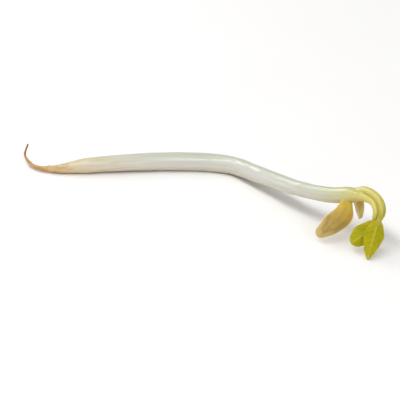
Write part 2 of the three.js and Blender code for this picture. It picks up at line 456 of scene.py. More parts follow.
def finish_skin(tree, shader, colour, patches, relief, smooth, rough, height):
    """Give the shader its colour, a roughness that follows patches, and a fine relief in mm."""
    gloss = add(tree, "ShaderNodeMapRange", {"Value": patches, "To Min": smooth, "To Max": rough})
    bump = add(tree, "ShaderNodeBump", {"Strength": 0.5, "Distance": height * MM, "Height": relief})
    tree.links.new(colour, shader.inputs["Base Color"])
    tree.links.new(gloss.outputs[0], shader.inputs["Roughness"])
    tree.links.new(bump.outputs[0], shader.inputs["Normal"])


def mottled(name, patch, dark, light, **even):
    """A plain material that varies between two hex colours over patches of a size in metres."""
    material, tree, shader = start_skin(name, **even)
    spot = add(tree, "ShaderNodeTexCoord")
    patches = {"Vector": spot.outputs["Object"], "Scale": 1 / patch}
    patches = add(tree, "ShaderNodeTexNoise", patches)
    tint = add(tree, "ShaderNodeValToRGB", {"Fac": patches}, stops=((0, dark), (1, light)))
    tree.links.new(tint.outputs[0], shader.inputs["Base Color"])
    return material


print("skin layers ready")

# %% [markdown]
# ## One colour for the whole line
# A sprout changes colour slowly from end to end: brown at the root's tip, tan, cream, white for most
# of the stem, then yellow-green over the hook. So one ramp runs over root, stem and neck, and they
# meet without a seam. The top of the plant is faintly green, its underside is painted beige as a
# painted warm shade, and its long cells show as faint streaks down its length.

# %% Colour from the root's tip to the end of the hook
HOOK_LENGTH = 11
HOOK_END_AT = NODE_AT + HOOK_LENGTH


def plant_tint(tree):
    """Colour of root, stem and neck down the plant and round it, with painted shade underneath."""
    tint = tint_down(
        tree,
        (0, "#94642f"),
        (1.5, "#b98a50"),
        (5, "#cfa66c"),
        (9, "#dab987"),
        (13, "#dec9a3"),
        (COLLAR_AT, "#dccfb5"),
        (COLLAR_AT + 6, "#dad4c7"),
        (COLLAR_AT + 14, "#d7d5ce"),
        (COLLAR_AT + 38, "#d5d4cf"),
        (NODE_AT - 9, "#d3d3c9"),
        (NODE_AT - 4, "#d0d0b5"),
        (NODE_AT, "#d0cb92"),
        (NODE_AT + 3, "#d8cc78"),
        (NODE_AT + 7, "#dbce6e"),
        (NODE_AT + 9.5, "#cfc255"),
        (HOOK_END_AT, "#b6ad30"),
    )
    # The faint green on top is the tissue's own colour; the beige underside is painted warm shade.
    green_top_and_painted_underside_shade = ((0, "#f2f6ea"), (1, "#efe0c8"), (0.28, "#ffffff"), (0.55, "#fffdf8"))
    tint = shade(tree, tint, underside(tree), *green_top_and_painted_underside_shade)
    tint = shade(tree, tint, streaks(tree, 0.4, 9), (0.45, "#ffffff"), (0.85, "#eff1e8"))
    return shade(tree, tint, streaks(tree, 0.2, 14), (0.2, "#efede7"), (0.55, "#ffffff"))


print(f"one ramp of colour over {HOOK_END_AT:.0f} mm")

# %% [markdown]
# ## One tissue for the whole line
# Root, stem and neck are watery tissue under a thin waxy skin. Light goes a millimetre or so into it,
# which softens its shading, so the shader has subsurface scattering, and a coat for the wax. Here and
# there a faint beige bruise shows from handling. Towards the root's tip the skin dries: it loses its
# wax, and shows short wrinkles and paler patches. Three separate finishes would meet in a line, so one
# function makes all three, and what changes in it depends on the distance down the plant.

# %% Tissue
DRIED_TO = COLLAR_AT - 1
DRYING_LENGTH = 7
WAX = 0.5
DRY_WAX = 0.1
# How much light goes in, as a grey: this one stands for a weight of 0.35.
CLEAR = "#a0a0a0"
OPAQUE = "#000000"
JOINT_REACH = 2


def plant_tissue(name):
    # Watery flesh under wax: a soft white, yellow or tan that light sinks into, with a long sheen on top.
    material, tree, shader = start_skin(
        name,
        IOR=1.38,
        Subsurface_Radius=(1.0, 0.85, 0.6),
        Subsurface_Scale=0.9 * MM,
        Coat_Roughness=0.15,
    )
    # Light that goes into a piece stops at its end, so none goes in where two pieces meet.
    light_goes_in = tint_down(
        tree,
        (0, CLEAR),
        (COLLAR_AT - JOINT_REACH, CLEAR),
        (COLLAR_AT, OPAQUE),
        (COLLAR_AT + JOINT_REACH, CLEAR),
        (NODE_AT - JOINT_REACH, CLEAR),
        (NODE_AT, OPAQUE),
        (NODE_AT + JOINT_REACH, CLEAR),
        (HOOK_END_AT, CLEAR),
    )
    tree.links.new(light_goes_in.outputs[0], shader.inputs["Subsurface Weight"])
    dried = share_down(tree, DRIED_TO, DRIED_TO - DRYING_LENGTH)
    bruises = streaks(tree, 1.6, 4)
    tint = shade(tree, plant_tint(tree), bruises, (0.6, "#ffffff"), (0.9, "#f4e6ca"))
    furrows = streaks(tree, 0.2, 2.5)
    tint = shade(tree, tint, furrows, (0.45, "#ffffff"), (0.75, "#d6b184"), amount=dried)
    patches = streaks(tree, 0.9, 1.8)
    tint = shade(tree, tint, patches, (0.35, "#e3c79d"), (0.6, "#ffffff"), amount=dried)
    # Painted shade: the groove between the two stalks is darkened to olive.
    groove = add(tree, "ShaderNodeAttribute", attribute_name="groove")
    tint = shade(tree, tint, groove.outputs["Fac"], (0.1, "#ffffff"), (0.9, "#d3c48e"))
    wax = add(tree, "ShaderNodeMapRange", {"Value": dried, "To Min": WAX, "To Max": DRY_WAX})
    tree.links.new(wax.outputs[0], shader.inputs["Coat Weight"])
    dulled = add(tree, "ShaderNodeMath", {0: bruises, 1: dried}, operation="ADD")
    # The real cells are less than half as wide, and are drawn coarser so that they show.
    long_cells = streaks(tree, 0.12, 1.2, 3.0)
    wrinkles = streaks(tree, 0.15, 0.5, 3.0)
    relief = add(tree, "ShaderNodeMix", {"Factor": dried, "A": long_cells, "B": wrinkles})
    finish_skin(tree, shader, tint, dulled, relief, smooth=0.22, rough=0.46, height=0.025)
    return material


STEM_TISSUE = plant_tissue("white stem tissue")
ROOT_TISSUE = plant_tissue("tan root tissue")
NECK_TISSUE = plant_tissue("yellow-green neck tissue")
print("made", STEM_TISSUE.name + ",", ROOT_TISSUE.name, "and", NECK_TISSUE.name)

# %% [markdown]
# ## Where two pieces meet
# On the plant nothing divides root, stem and neck, but here they are pieces of their own. Ends that
# only touched would show as a dark line, because light inside one piece stops at its end. So each
# piece laps a little into the next, and sinks below its skin on the way.

# %% Girth along the whole line, and the laps
LAP = 1.2
LAP_SINK = 0.15
EVENED_STEP = 0.5
EVENED_STEPS = range(-4, 5)
root_girth = profile((0, 0.3, 0.6, 0.82, 1), [STEM_RADIUS * g for g in (0.09, 0.16, 0.32, 0.58, 0.81)])
stem_girth = profile((0, 0.3, 0.6, 0.85, 1), [STEM_RADIUS * g for g in (0.81, 1, 0.9, 0.8, 0.87)])


def plant_girth(far):
    """The girth at a distance down the line, evened over a few millimetres to either side."""
    girths = []
    for step in EVENED_STEPS:
        place_down = min(max(far + step * EVENED_STEP, 0), NODE_AT)
        if place_down < COLLAR_AT:
            girths.append(root_girth(place_down / COLLAR_AT))
        else:
            girths.append(stem_girth((place_down - COLLAR_AT) / (NODE_AT - COLLAR_AT)))
    return sum(girths) / len(girths)


def lapped(start, end):
    """The line and the girth of a piece between two distances, with a lap at both ends."""
    steps = [i for i, far in enumerate(plant_distances) if start - LAP <= far <= end + LAP]
    first = plant_distances[steps[0]]
    reach = plant_distances[steps[-1]] - first

    def girth(t):
        far = first + t * reach
        into_lap = max(start - far, far - end, 0) / LAP
        return plant_girth(far) * (1 - LAP_SINK * into_lap**2)

    return [plant_line[i] for i in steps], girth, first


print(f"girth {2 * root_girth(0):.1f} mm at the tip, {2 * stem_girth(0):.1f} mm at the collar")

# %% [markdown]
# ## The stem
# The stem, or hypocotyl, is the long white part. It is close to round, swells and thins a little on its
# way, and has shallow ripples along its fibres. A smooth tube with only a bump in its finish would keep
# a ruled outline, so the tree moves the surface itself, with noise that is drawn out down the plant.

# %% Grow the stem
# Heights are in metres, as the mesh is. Lengths and widths are in millimetres, as `grown` is.
plant_ripples = {
    "Swell_height": 0.25 * MM,
    "Swell_length": 5.0,
    "Fibre_height": 0.04 * MM,
    "Fibre_width": 0.35,
    "Fibre_length": 12.0,
}
stem = line_piece("grown_stem", lapped(COLLAR_AT, NODE_AT))
run_tree(stem, STALK_TREE, Rings=280, Sides=72, Skin=STEM_TISSUE, **plant_ripples)
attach(stem, "root")
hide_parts("hypocotyl")

# %% [markdown]
# ## The root
# Below the collar the plant thins to a root. It is grown by the same tree as the stem, and because the
# tree's ripples follow the distance along the whole plant, the two meet without a step. Small pimples
# show where side roots would have broken out. They sit anywhere on the skin but never close together,
# so a second tree scatters points with a least distance, from a fixed seed, and raises the skin around
# each. Balls set on the skin would show a seam around their feet.

# %% The tree that raises pimples
def pimple_tree():
    """A tree that raises round pimples on a skin, between two distances down the plant."""
    tree, given = start_tree(
        "Raise pimples",
        Spacing="Float",
        Count_per_area="Float",
        First="Float",
        Last="Float",
        Reach="Float",
        Height="Float",
        Seed="Int",
        Skin="Material",
    )
    limits = {0: further_down(tree, given["First"]), 1: further_down(tree, given["Last"])}
    scatter = {
        "Mesh": given["Geometry"],
        "Selection": add(tree, "FunctionNodeBooleanMath", limits, operation="NIMPLY"),
        "Distance Min": given["Spacing"],
        "Density Max": given["Count per area"],
        "Seed": given["Seed"],
    }
    spots = add(tree, "GeometryNodeDistributePointsOnFaces", scatter, distribute_method="POISSON")
    nearest = add(tree, "GeometryNodeProximity", {0: spots.outputs["Points"]}, target_element="POINTS")
    limits = {
        "Value": nearest.outputs["Distance"],
        "From Max": given["Reach"],
        "To Min": given["Height"],
        "To Max": 0.0,
    }
    height = add(tree, "ShaderNodeMapRange", limits, interpolation_type="SMOOTHSTEP")
    normal = add(tree, "GeometryNodeInputNormal")
    skin = raise_skin(tree, given["Geometry"], normal, height)
    return finish_tree(tree, press_flat(tree, skin), given["Skin"])


PIMPLE_TREE = pimple_tree()
print("pimple tree:", len(PIMPLE_TREE.nodes), "nodes")

# %% Grow the root
TIP_SHARE = 0.02
TIP_BLUNTNESS = 0.01
root_line, lapped_root, root_start = lapped(0, COLLAR_AT)


def tipped_root(t):
    """The root's girth, rounded off at its tip."""
    into_tip = max(TIP_SHARE - t, 0) / TIP_SHARE
    return lapped_root(t) * math.sqrt(1 + TIP_BLUNTNESS - into_tip**2)


root = line_piece("grown_root", (root_line, tipped_root, root_start))
run_tree(root, STALK_TREE, Rings=240, Sides=72, Skin=ROOT_TISSUE, **plant_ripples)
run_tree(
    root,
    PIMPLE_TREE,
    Spacing=1.3 * MM,
    Count_per_area=0.5 / MM**2,
    First=5.0,
    Last=COLLAR_AT - 1.5,
    Reach=0.3 * MM,
    Height=0.1 * MM,
    Seed=4,
    Skin=ROOT_TISSUE,
)
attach(root, "root")
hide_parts("root")

# %% [markdown]
# ## The neck
# Above the bean the plant goes on as a neck, the epicotyl, which forks into two leaf stalks that lie
# side by side in one hook and run on into the leaves as their middle veins. Three sweeps that only
# pass through each other would show hard creases and hide faces inside. This tree turns the sweeps
# into a volume and back into one skin, smooths it, and reads `grown` back from the nearest sweep. It
# also marks the groove between the stalks, where the finish paints an olive shade.

# %% Steps that fuse a fork
BAND_VOXELS = 3.0
SKIN_THRESHOLD = 0.1


def fused_skin(tree, stalks, voxel, smoothing):
    """One smooth skin around stalks that pass through each other."""
    band = add(tree, "ShaderNodeMath", {0: voxel, 1: BAND_VOXELS}, operation="MULTIPLY")
    filled = {"Mesh": stalks, "Voxel Size": voxel, "Interior Band Width": band}
    volume = add(tree, "GeometryNodeMeshToVolume", filled, resolution_mode="VOXEL_SIZE")
    grid = {"Volume": volume, "Threshold": SKIN_THRESHOLD}
    skin = add(tree, "GeometryNodeVolumeToMesh", grid, resolution_mode="GRID")
    skin = add(tree, "GeometryNodeSetShadeSmooth", {0: skin})
    here = add(tree, "GeometryNodeInputPosition")
    calm = {"Value": here, "Iterations": smoothing}
    calm = add(tree, "GeometryNodeBlurAttribute", calm, data_type="FLOAT_VECTOR")
    return add(tree, "GeometryNodeSetPosition", {"Geometry": skin, "Position": calm})


def nearest_grown(tree, stalks, blending):
    """`grown` of the nearest stalk, blended where the stalks meet."""
    here = add(tree, "GeometryNodeInputPosition")
    grown = add(tree, "GeometryNodeInputNamedAttribute", {"Name": "grown"}, data_type="FLOAT_VECTOR")
    nearest = {"Mesh": stalks, "Value": grown, "Sample Position": here}
    nearest = add(tree, "GeometryNodeSampleNearestSurface", nearest, data_type="FLOAT_VECTOR")
    blended = {"Value": nearest, "Iterations": blending}
    return add(tree, "GeometryNodeBlurAttribute", blended, data_type="FLOAT_VECTOR")


def groove_between(tree, stalks, width):
    """One where the second and third stalks lie close together, away from the first."""
    strand = add(tree, "GeometryNodeInputNamedAttribute", {"Name": "strand"}, data_type="FLOAT")
    gaps = []
    for number in range(3):
        chosen = {"A": strand, "B": float(number), "Epsilon": 0.5}
        is_strand = add(tree, "FunctionNodeCompare", chosen, operation="EQUAL")
        alone = add(tree, "GeometryNodeSeparateGeometry", {"Geometry": stalks, "Selection": is_strand})
        gaps.append(add(tree, "GeometryNodeProximity", {0: alone}).outputs["Distance"])
    neck_gap, outer_gap, inner_gap = gaps
    further = add(tree, "ShaderNodeMath", {0: outer_gap, 1: inner_gap}, operation="MAXIMUM")
    limits = {"Value": further, "From Max": width, "To Min": 1.0, "To Max": 0.0}
    close = add(tree, "ShaderNodeMapRange", limits, interpolation_type="SMOOTHSTEP")
    limits = {"Value": neck_gap, "From Max": width}
    off_neck = add(tree, "ShaderNodeMapRange", limits, interpolation_type="SMOOTHSTEP")
    return add(tree, "ShaderNodeMath", {0: close, 1: off_neck}, operation="MULTIPLY")


print("fork steps ready: fuse, read back, mark the groove")

# %% The tree that fuses a fork
def fork_tree():
    """A tree that sweeps three stalks and fuses them into one skin with a marked groove."""
    tree, given = start_tree(
        "Fuse a fork",
        Rings="Int",
        Sides="Int",
        Voxel="Float",
        Smoothing="Int",
        Blending="Int",
        Groove_width="Float",
        Fibre_height="Float",
        Fibre_width="Float",
        Fibre_length="Float",
        Skin="Material",
    )
    stalks = sweep(tree, given["Geometry"], given["Rings"], given["Sides"])
    skin = fused_skin(tree, stalks, given["Voxel"], given["Smoothing"])
    read_back = nearest_grown(tree, stalks, given["Blending"])
    grown = {"Geometry": skin, "Name": "grown", "Value": read_back}
    skin = add(tree, "GeometryNodeStoreNamedAttribute", grown, data_type="FLOAT_VECTOR")
    depth = groove_between(tree, stalks, given["Groove width"])
    groove = {"Geometry": skin, "Name": "groove", "Value": depth}
    skin = add(tree, "GeometryNodeStoreNamedAttribute", groove, data_type="FLOAT")
    grown = add(tree, "GeometryNodeInputNamedAttribute", {"Name": "grown"}, data_type="FLOAT_VECTOR")
    wave = fibre_wave(tree, grown, given["Fibre width"], given["Fibre length"], given["Fibre height"])
    normal = add(tree, "GeometryNodeInputNormal")
    skin = raise_skin(tree, skin, normal, wave)
    return finish_tree(tree, skin, given["Skin"])


FORK_TREE = fork_tree()
print("fork tree:", len(FORK_TREE.nodes), "nodes")

# %% The stalks, and the leaves that they run into
STALK_RADIUS = 0.75
OUTER_STALK_ROWS = (
    (0.1, 0, 0.05),
    (0.38, 0.02, 0.18),
    (0.8, -0.18, 0.17),
    (1, -0.4, 0.01),
    (0.99, -0.61, -0.2),
)
INNER_STALK_ROWS = (
    (0.1, -0.03, 0.02),
    (0.41, -0.1, 0.09),
    (0.74, -0.28, 0.07),
    (0.87, -0.46, -0.08),
    (0.83, -0.575, -0.265),
)
LONG_LEAF_LENGTH = 7.05
SHORT_LEAF_LENGTH = 5.4
LEAF_ROOTING = 0.6
LEAF_BEND_SHARE = 1 / 3
VEIN_SHARES = (0.2, 0.3, 0.42)


def bent_path(start, bend, end):
    """The place and the heading at any share of a path with one bend."""

    def at(t):
        point = start * (1 - t) ** 2 + bend * 2 * t * (1 - t) + end * t**2
        heading = (bend - start) * (1 - t) + (end - bend) * t
        return point, heading.normalized()

    return at


def stalk_and_leaf(rows, hang, length):
    """A stalk's line, run on into its leaf as the middle vein, and the leaf's own path."""
    points = [place(row, HOOK_REACH, NODE) for row in rows]
    before, end = smooth_line(points)[-2:]
    heading = (end - before).normalized()
    tip = end + length * hang.normalized()
    bend = end + LEAF_BEND_SHARE * length * heading
    leaf_path = bent_path(end - LEAF_ROOTING * heading, bend, tip)
    vein = [leaf_path(share)[0] for share in VEIN_SHARES]
    return smooth_line(points + vein), leaf_path


long_hang = Vector((-0.05, -0.52, -0.86))
short_hang = Vector((-0.5, -0.6, -0.6))
outer_line, long_path = stalk_and_leaf(OUTER_STALK_ROWS, long_hang, LONG_LEAF_LENGTH)
inner_line, short_path = stalk_and_leaf(INNER_STALK_ROWS, short_hang, SHORT_LEAF_LENGTH)
print(f"stalks of {distances(outer_line)[-1]:.1f} and {distances(inner_line)[-1]:.1f} mm with their veins")

# %% Grow the neck
NECK_ROOTING = 1.2
STALKS_AT = NODE_AT + (outer_line[0] - NODE).length
rooted_step = max(i for i, far in enumerate(plant_distances) if far < NODE_AT - NECK_ROOTING)
neck_girth = profile((0, 0.26, 0.63, 1), [STEM_RADIUS * g for g in (0.8, 0.84, 0.7, 0.34)])
outer_girth = profile((0, 0.4, 0.74, 0.83, 1), [STALK_RADIUS * g for g in (1.45, 1.05, 0.9, 0.6, 0.22)])
inner_girth = profile((0, 0.4, 0.74, 0.83, 1), [STALK_RADIUS * g for g in (1.4, 0.95, 0.8, 0.55, 0.2)])
neck = line_piece(
    "grown_neck",
    (plant_line[rooted_step:], neck_girth, NODE_AT - NECK_ROOTING),
    (outer_line, outer_girth, STALKS_AT),
    (inner_line, inner_girth, STALKS_AT),
)
run_tree(
    neck,
    FORK_TREE,
    Rings=110,
    Sides=36,
    Voxel=0.08 * MM,
    Smoothing=4,
    Blending=12,
    Groove_width=0.35 * MM,
    Fibre_height=0.05 * MM,
    Fibre_width=0.25,
    Fibre_length=5.0,
    Skin=NECK_TISSUE,
)
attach(neck, "root")
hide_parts("epicotyl")

# %% [markdown]
# ## Lofting a free form
# The bean halves and the leaves are not round. They could be sculpted, but then no size in them would
# have a name to change it by. So they are lofted in mesh code: rings of points follow a path with one
# bend, and a section says how far each point lies beside the path and out from it. Rings crowd towards
# both ends, so that an end can round off. The loft keeps `grown` as the stalks do, and a `mark` from
# the section, such as how close a point is to a crease or a vein.

# %% The loft
END_ROUNDING = 0.06
LEAST_END = 0.001


def loft(name, path, length, section, face, skin, rings, sides):
    """A closed piece that follows a path, with its outer side towards the way it faces."""
    places, grown, marks, faces = [], [], [], []
    normal = face
    for ring in range(rings + 1):
        t = (1 - math.cos(math.pi * ring / rings)) / 2
        centre, heading = path(t)
        normal = (normal - normal.dot(heading) * heading).normalized()
        side = heading.cross(normal)
        for step in range(sides):
            beside, out, mark = section(t, 2 * math.pi * step / sides)
            spot = in_frame(centre + beside * side + out * normal)
            places.append((spot.x, spot.y, max(spot.z, 0)))
            grown += (beside, out, t * length)
            marks.append(mark)
    for ring in range(rings):
        for step in range(sides):
            here = ring * sides + step
            beyond = ring * sides + (step + 1) % sides
            faces.append((here, here + sides, beyond + sides, beyond))
    faces.append(tuple(range(sides)))
    faces.append(tuple(reversed(range(rings * sides, (rings + 1) * sides))))
    mesh = bpy.data.meshes.new(name)
    mesh.from_pydata(places, [], faces)
    mesh.attributes.new("mark", "FLOAT", "POINT").data.foreach_set("value", marks)
    mesh.attributes.new("grown", "FLOAT_VECTOR", "POINT").data.foreach_set("vector", grown)
    mesh.shade_smooth()
    mesh.materials.append(skin)
    print(f"{name}: {len(faces)} faces")
    return new_piece(name, mesh)


def rounded_end(t):
    """A share that closes the last stretch of a piece in a round."""
    into_end = max(t - 1 + END_ROUNDING, 0) / END_ROUNDING
    return math.sqrt(max(1 - into_end**2, LEAST_END))


def bell(distance, width):
    """One on a line, falling smoothly to nothing a few widths away."""
    return math.exp(-((distance / width) ** 2))


print("an end closes over the last", f"{END_ROUNDING:.0%} of a lofted piece")

# %% [markdown]
# ## The bean halves
# The two halves of the bean fed the seedling and are now spent: yellow at the node, shrunken and tan
# towards their ends, with a pale rim that is a painted highlight. Each is domed outside, nearly flat
# inside and kidney-shaped: its path is curved, and one side bulges more than the other and is widest
# nearer the base. Creases run where a noise field passes through zero, which gives branching lines as
# on shrivelled skin. The section presses them in, so they are real relief and not only shading. The
# mark is above nothing in a crease, where the finish paints shade, and below nothing on the rim,
# where it paints a highlight.

# %% Bean flesh
def bean_flesh(name, dried_colour, end_colour):
    # Starchy flesh that is drying out: dull, opaque, yellow to tan, with painted shade in its folds.
    material, tree, shader = start_skin(
        name,
        IOR=1.42,
        Specular_IOR_Level=0.35,
        Subsurface_Weight=0.2,
        Subsurface_Radius=(1.0, 0.7, 0.2),
        Subsurface_Scale=0.5 * MM,
    )
    tint = tint_down(
        tree,
        (0, "#cdbf50"),
        (1, "#cfb142"),
        (2.5, "#c4a245"),
        (4.5, dried_colour),
        (8, end_colour),
    )
    blotches = streaks(tree, 1.0, 1.8, 3.0)
    tint = shade(tree, tint, blotches, (0.5, "#ffffff"), (0.8, "#eadbba"))
    mark = add(tree, "ShaderNodeAttribute", attribute_name="mark").outputs["Fac"]
    # Painted shade in the creases and a painted highlight along the rim, both from the mark.
    tint = blend_in(tree, tint, "#99803c", mark, low=0.25, high=1.5)
    tint = blend_in(tree, tint, "#e2cb98", mark, low=-0.2, high=-1.1)
    # Starch grains are far finer, and are drawn coarser so that the skin looks dull and dry.
    grain = streaks(tree, 0.12, 0.16, 3.0)
    finish_skin(tree, shader, tint, blotches, grain, smooth=0.4, rough=0.62, height=0.03)
    return material


TAN_FLESH = bean_flesh("tan drying bean flesh", "#b3954e", "#c8af6e")
# The far half is yellower in its own colour, and its flesh is also painted lighter against the shade it
# hangs in.
YELLOW_FLESH = bean_flesh("yellow drying bean flesh", "#cdbd62", "#c4b75c")
print("made", TAN_FLESH.name, "and", YELLOW_FLESH.name)

# %% Shape of a bean half
BEAN_WIDTH = 4.5
BEAN_DEPTH = 1.6
# The fuller side bulges by the belly, and is widest nearer the base by the lean, a share of the length.
BEAN_BELLY = 0.4
BEAN_LEAN = 0.13
BEAN_ROOTING = 0.9
BEND_SHARE = 0.55
OUTER_FULLNESS = 0.75
CREASE_DEPTH = 0.1
CREASE_SPACING = 1.6
CREASE_LENGTH = 3.4
CREASE_WIDTH = 0.09
CREASES_FADE_IN = 0.25
CREASES_FADE_OUT = 0.17
RIM_WIDTH = 0.1
bean_width = profile((0, 0.14, 0.42, 0.75, 1), (0.35, 0.6, 1, 0.72, 0.35))
bean_depth = profile((0, 0.14, 0.42, 0.75, 1), (0.45, 0.6, 1, 0.8, 0.4))


def bean_section(length, seed):
    """A bean half's section: bulging to one side, full outside, creased, with a smooth rim."""

    def section(t, angle):
        across = math.cos(angle)
        up = math.sin(angle)
        belly = math.sin(math.pi * t)
        half_width = bean_width(t - BEAN_LEAN * across * belly) * BEAN_WIDTH / 2
        beside = across * half_width * rounded_end(t)
        fullness = OUTER_FULLNESS if up > 0 else 1 - OUTER_FULLNESS
        out = up * fullness * bean_depth(t) * BEAN_DEPTH * rounded_end(t)
        spot = Vector((beside / CREASE_SPACING, out / CREASE_SPACING, t * length / CREASE_LENGTH + seed))
        rim = bell(1 - abs(across), RIM_WIDTH)
        fade = min(1, t / CREASES_FADE_IN, (1 - t) / CREASES_FADE_OUT)
        crease = bell(noise.noise(spot), CREASE_WIDTH) * fade * (1 - rim)
        inset = 1 - CREASE_DEPTH * crease / max(math.hypot(beside, out), 2 * CREASE_DEPTH)
        # The last value is the mark: painted shade in a crease, a painted highlight on the rim.
        return beside * inset - BEAN_BELLY * belly, out * inset, crease - rim

    return section


print(f"creases every {CREASE_SPACING} mm or so, {CREASE_DEPTH} mm deep, and a bulge of {BEAN_BELLY} mm")

# %% Grow the bean halves
TOWARDS_FRONT = Vector((0.4, -0.8, 0.45))
FORWARDS = Vector((0.9, 0.45, 0))


def bean_half(name, node, outwards, leave, hang, length, face, seed, flesh):
    """A half that leaves the node outwards, bends where it leaves, and ends where it hangs."""
    heading = (plant_line[node_step + 1] - plant_line[node_step - 1]).normalized()
    radial = (outwards - outwards.dot(heading) * heading).normalized()
    surface = NODE + radial * stem_girth(1)
    bend = surface + BEND_SHARE * length * leave.normalized()
    path = bent_path(surface - BEAN_ROOTING * radial, bend, surface + length * hang.normalized())
    half = loft(name, path, length, bean_section(length, seed), face, flesh, rings=90, sides=64)
    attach(half, "root")
    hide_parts(node)
    return half


near_half = bean_half(
    "near_bean_half",
    "cotyledon_near",
    outwards=Vector((0, -0.95, -0.25)),
    leave=Vector((-0.05, -0.55, -0.85)),
    hang=Vector((-0.42, -0.61, -0.68)),
    length=8.4,
    face=TOWARDS_FRONT,
    seed=3.1,
    flesh=TAN_FLESH,
)
far_half = bean_half(
    "far_bean_half",
    "cotyledon_far",
    outwards=Vector((0, 0.95, -0.25)),
    leave=Vector((0, 0.65, -0.75)),
    hang=Vector((0.03, 0.35, -0.93)),
    length=6.6,
    face=FORWARDS,
    seed=5.3,
    flesh=YELLOW_FLESH,
)

# %% [markdown]
# ## The first leaves
# Two thin young leaves hang from the stalks, folded back along their middle veins so that their
# undersides show. On the underside the veins stand out: a thick middle vein that carries on the
# stalk, and side veins that leave it at a slant. The slant makes each side vein a straight line in
# the plane of distance along and distance aside, so a repeating ramp gives them all. The blade
# between them is quilted and its edge waves a little.

# %% Leaf blade
def leaf_blade():
    # Young blade, yellow-green because it saw little light: even, strong colour and a dull skin.
    material, tree, shader = start_skin(
        "young leaf blade",
        IOR=1.42,
        Specular_IOR_Level=0.15,
        Subsurface_Weight=0.25,
        Subsurface_Radius=(0.8, 1.0, 0.1),
        Subsurface_Scale=0.4 * MM,
    )
    tint = tint_down(
        tree,
        (0, "#b7ac30"),
        (1.2, "#aea412"),
        (3, "#a8a10a"),
        (5, "#b1a70d"),
        (7, "#baad14"),
    )
    patches = streaks(tree, 0.7, 1.0, 3.0)
    tint = blend_in(tree, tint, "#95990c", patches, low=0.5, high=0.8)
    mark = add(tree, "ShaderNodeAttribute", attribute_name="mark").outputs["Fac"]
    tint = blend_in(tree, tint, "#c6bd4e", mark, low=0.2, high=1.3)
    # The real cells are about a third as wide, and are drawn coarser so that they show.
    cells = streaks(tree, 0.1, 0.1, 3.0)
    finish_skin(tree, shader, tint, patches, cells, smooth=0.45, rough=0.6, height=0.02)
    return material


LEAF_BLADE = leaf_blade()
print("made", LEAF_BLADE.name)

# %% Shape of a leaf
LEAF_WIDTH = 3.8
LEAF_THICKNESS = 0.28
LEAF_FOLD = 0.25
SIDE_FULLNESS = 0.7
EDGE_FULLNESS = 0.5
VEIN_SPACING = 0.95
VEIN_SLANT = 0.8
VEIN_WIDTH = 0.11
VEIN_HEIGHT = 0.09
SIDE_VEIN_MARK = 0.55
EDGE_WAVE = 0.16
EDGE_WAVE_LENGTH = 2.3
EDGE_WAVE_SHIFT = 0.7
pointed_leaf = profile((0, 0.12, 0.45, 0.8, 1), (0.2, 0.55, 1, 0.6, 0.12))
blunt_leaf = profile((0, 0.15, 0.58, 0.86, 1), (0.2, 0.5, 1, 0.75, 0.35))
rib_width = profile((0, 0.2, 1), (0.5, 0.24, 0.1))
rib_height = profile((0, 0.2, 1), (0.42, 0.2, 0.05))


def leaf_section(width, length):
    """A leaf's section: a thin blade, folded at its middle vein, with raised side veins."""

    def section(t, angle):
        across = math.cos(angle)
        up = math.sin(angle)
        half_width = width(t) * LEAF_WIDTH / 2 * rounded_end(t)
        beside = math.copysign(abs(across) ** SIDE_FULLNESS, across) * half_width
        out = math.copysign(abs(up) ** EDGE_FULLNESS, up) * LEAF_THICKNESS / 2 * rounded_end(t)
        aside = abs(beside)
        edge = aside / half_width
        turns = t * length / EDGE_WAVE_LENGTH
        wave = EDGE_WAVE * edge**3 * math.sin(math.tau * turns + math.copysign(EDGE_WAVE_SHIFT, across))
        rib = bell(aside, rib_width(t))
        vein_number = (t * length - VEIN_SLANT * aside) / VEIN_SPACING
        to_vein = abs(vein_number - round(vein_number)) * VEIN_SPACING
        side_vein = bell(to_vein, VEIN_WIDTH) * (1 - edge**4) * min(1, aside / rib_width(t))
        relief = VEIN_HEIGHT * side_vein + (rib_height(t) * rib if up > 0 else 0)
        mark = max(rib, SIDE_VEIN_MARK * side_vein)
        return beside, out - LEAF_FOLD * aside + wave + relief, mark

    return section


print(f"side veins every {VEIN_SPACING} mm")

# %% Grow the leaves
def leaf(name, node, path, length, width):
    """A leaf along its path, with its underside towards the front."""
    section = leaf_section(width, length)
    blade = loft(name, path, length, section, TOWARDS_FRONT, LEAF_BLADE, rings=110, sides=80)
    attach(blade, "root")
    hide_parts(node)
    return blade


long_leaf = leaf("long_leaf", "leaf_long", long_path, LONG_LEAF_LENGTH, pointed_leaf)
short_leaf = leaf("short_leaf", "leaf_short", short_path, SHORT_LEAF_LENGTH, blunt_leaf)

# %% [markdown]
# ## Fine hairs
# The stem is bare, but the stalks and the young leaves carry a thin, short down. Blender's own hair
# would not leave the program as a mesh, so a tree stands small cones on the skin instead: it
# scatters points from a fixed seed, leans each cone a little its own way, and sinks its foot. Real
# hairs are about 0.02 mm thick, which is too thin to show here, so these are drawn twice as thick.

# %% Hair and the tree that grows it
SUNK_SHARE = -0.1
SHORTEST_SHARE = 0.5
# Clear, dry hair: close to colourless, so it only lightens what is behind it.
FINE_HAIR = mottled("fine plant hair", 1.5 * MM, "#d5cf94", "#ece9d2", IOR=1.5, Roughness=0.35)


